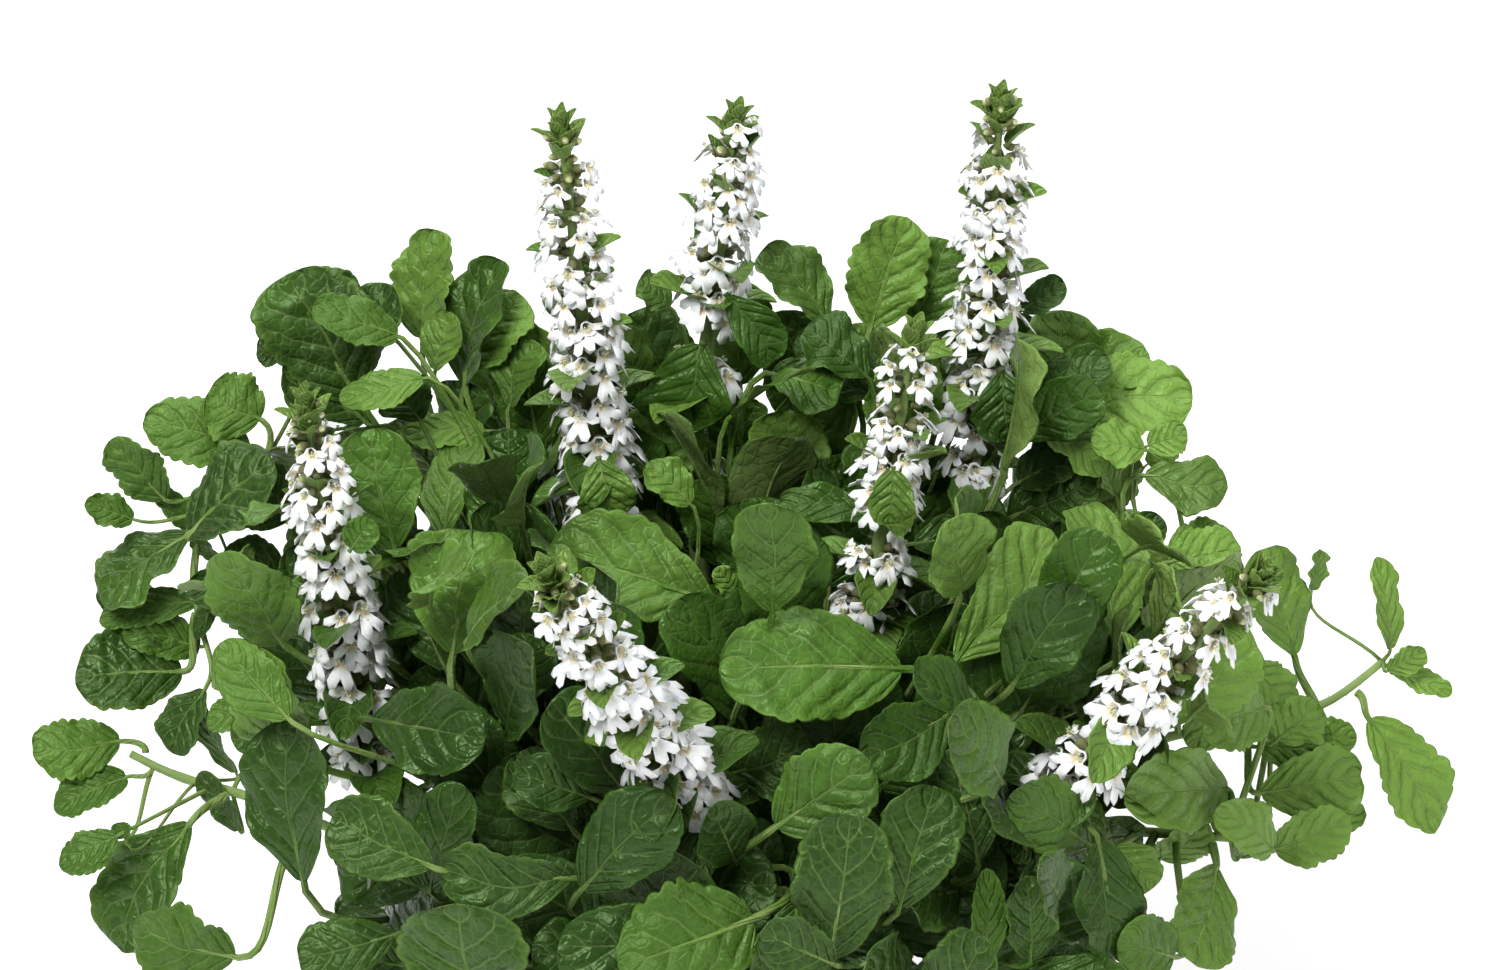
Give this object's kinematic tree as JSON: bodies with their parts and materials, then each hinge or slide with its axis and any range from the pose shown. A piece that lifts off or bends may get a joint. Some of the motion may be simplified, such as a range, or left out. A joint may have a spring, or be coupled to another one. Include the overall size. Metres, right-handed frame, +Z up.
{
  "type": "potted bugleweed",
  "caption": "Free-standing clay pot with a spreading mound of bugleweed: oval green leaves on long stalks, creeping runners and upright spikes of white flowers.",
  "frame": {"origin": "centre of the underside of the pot, on the surface that it stands on", "axes": "+Z up along the pot's axis, -Y towards the viewer, +X to the viewer's right, the way the plant is widest"},
  "size_m": [0.3936, 0.2048, 0.3261],
  "materials": {
    "terracotta": "unglazed fired clay, matt",
    "potting_mix": "dark moist potting mix, crumbly",
    "leaf_dark": "dark green leaf, slightly glossy",
    "leaf_mid": "mid green leaf, slightly glossy",
    "leaf_pale": "pale green leaf, satin",
    "stem_green": "pale green hairy stem",
    "flower_white": "white petals, satin"
  },
  "bodies": {
    "root": {"pot": "terracotta", "potting_mix": "potting_mix", "flower_stem_1": "stem_green", "flower_stem_2": "stem_green", "flower_stem_3": "stem_green", "flower_stem_4": "stem_green", "flower_stem_5": "stem_green", "flower_stem_6": "stem_green", "flower_stem_7": "stem_green", "flower_head_1": "flower_white", "flower_head_2": "flower_white", "flower_head_3": "flower_white", "flower_head_4": "flower_white", "flower_head_5": "flower_white", "flower_head_6": "flower_white", "flower_head_7": "flower_white", "runner_1": "stem_green", "runner_2": "stem_green", "runner_3": "stem_green", "runner_4": "stem_green", "runner_5": "stem_green", "leaf_back_left_oval": "leaf_mid", "leaf_back_left_pale": "leaf_pale", "leaf_back_broad": "leaf_mid", "leaf_back_round": "leaf_dark", "leaf_back_centre_left": "leaf_mid", "leaf_back_centre_right": "leaf_pale", "leaf_left_upper": "leaf_pale", "leaf_left_upper_broad": "leaf_mid", "leaf_left_upper_end": "leaf_pale", "leaf_left_hanging": "leaf_mid", "leaf_left_blue": "leaf_dark", "leaf_left_end_broad": "leaf_mid", "leaf_left_tip_upper": "leaf_pale", "leaf_left_tip_lower": "leaf_pale", "leaf_left_low": "leaf_mid", "leaf_left_lowest": "leaf_pale", "leaf_front_left_dark": "leaf_dark", "leaf_front_left_pointing": "leaf_dark", "leaf_centre_left_folded": "leaf_mid", "leaf_centre_oval": "leaf_mid", "leaf_centre_left_upright": "leaf_mid", "leaf_left_inner": "leaf_pale", "leaf_front_low_pale": "leaf_pale", "leaf_front_low_quilted": "leaf_mid", "leaf_front_low_left": "leaf_mid", "leaf_front_upright": "leaf_dark", "leaf_front_quilted": "leaf_mid", "leaf_front_middle": "leaf_mid", "leaf_front_right_dark": "leaf_dark", "leaf_front_large_oval": "leaf_mid", "leaf_centre_right": "leaf_mid", "leaf_right_upright": "leaf_mid", "leaf_back_right_pale": "leaf_pale", "leaf_back_right_broad": "leaf_dark", "leaf_front_right_pale": "leaf_pale", "leaf_right_pointing": "leaf_mid", "leaf_right_low": "leaf_mid", "leaf_right_outer": "leaf_mid", "leaf_right_end": "leaf_pale"}
  },
  "joints": []
}
